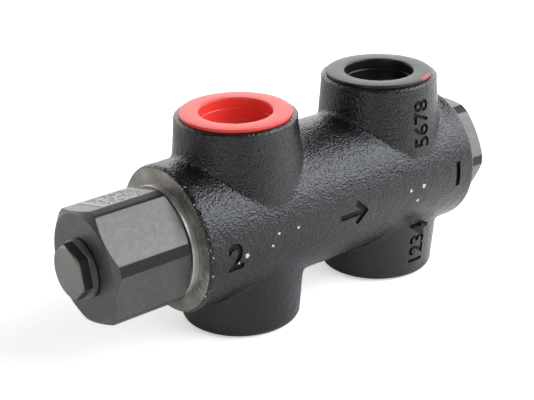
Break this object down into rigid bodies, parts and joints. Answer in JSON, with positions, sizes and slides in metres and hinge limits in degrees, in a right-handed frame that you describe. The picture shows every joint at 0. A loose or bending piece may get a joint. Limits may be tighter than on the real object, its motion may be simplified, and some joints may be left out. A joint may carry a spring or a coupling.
{
  "type": "flow control valve",
  "caption": "In-line hydraulic flow control valve: a black cast-iron barrel with opposed threaded port bosses, a hexagon spring cap, a sprung metering spool inside, and plastic shipping plugs.",
  "frame": {"origin": "under the middle of the valve's length, on the plane of the lower port faces", "axes": "+X along the barrel, from the spring cap to the end plug; +Z along the port axes, up towards the plugged ports"},
  "size_m": [0.1456, 0.044, 0.0644],
  "materials": {
    "painted_iron": "satin black paint over a sand-cast skin, bare turned faces at the ends",
    "phosphated_steel": "matt dark grey phosphate over turned and milled steel",
    "zinc_steel": "bright zinc plate",
    "hardened_steel": "ground",
    "spring_steel": "oiled spring wire",
    "nitrile_rubber": "matt",
    "red_plastic": "moulded polyethylene, satin",
    "black_plastic": "moulded polyethylene, satin",
    "label_film": "matt printed film"
  },
  "bodies": {
    "housing": {"valve_body": "painted_iron", "spring_cap": "phosphated_steel", "cap_seal_ring": "zinc_steel", "cap_seal_lip": "nitrile_rubber", "cap_label": "label_film", "signal_plug": "phosphated_steel", "signal_plug_seal": "nitrile_rubber", "end_plug": "phosphated_steel", "end_seal_ring": "zinc_steel", "end_seal_lip": "nitrile_rubber", "spring_shims": "hardened_steel", "control_spring": "spring_steel"},
    "spool": {"control_spool": "hardened_steel", "spool_orifice": "hardened_steel", "spring_seat": "hardened_steel", "pilot_seat": "hardened_steel", "pilot_shims": "hardened_steel", "pilot_spring": "spring_steel"},
    "poppet": {"pilot_poppet": "hardened_steel"},
    "red_plug": {"red_port_plug": "red_plastic"},
    "black_plug": {"black_port_plug": "black_plastic"}
  },
  "joints": [
    {"name": "spool_slide", "type": "slide", "parent": "housing", "child": "spool", "axis": [-1, 0, 0], "range_m": [0, 0.006], "stiffness_N_per_m": 8000, "springref_m": -0.008, "deforming": ["control_spring"]},
    {"name": "poppet_lift", "type": "slide", "parent": "spool", "child": "poppet", "axis": [1, 0, 0], "range_m": [0, 0.0008], "stiffness_N_per_m": 30000, "springref_m": -0.001, "deforming": ["pilot_spring"]},
    {"name": "red_plug_pull", "type": "slide", "parent": "housing", "child": "red_plug", "axis": [0, 0, 1], "range_m": [0, 0.02]},
    {"name": "black_plug_pull", "type": "slide", "parent": "housing", "child": "black_plug", "axis": [0, 0, 1], "range_m": [0, 0.02]}
  ]
}
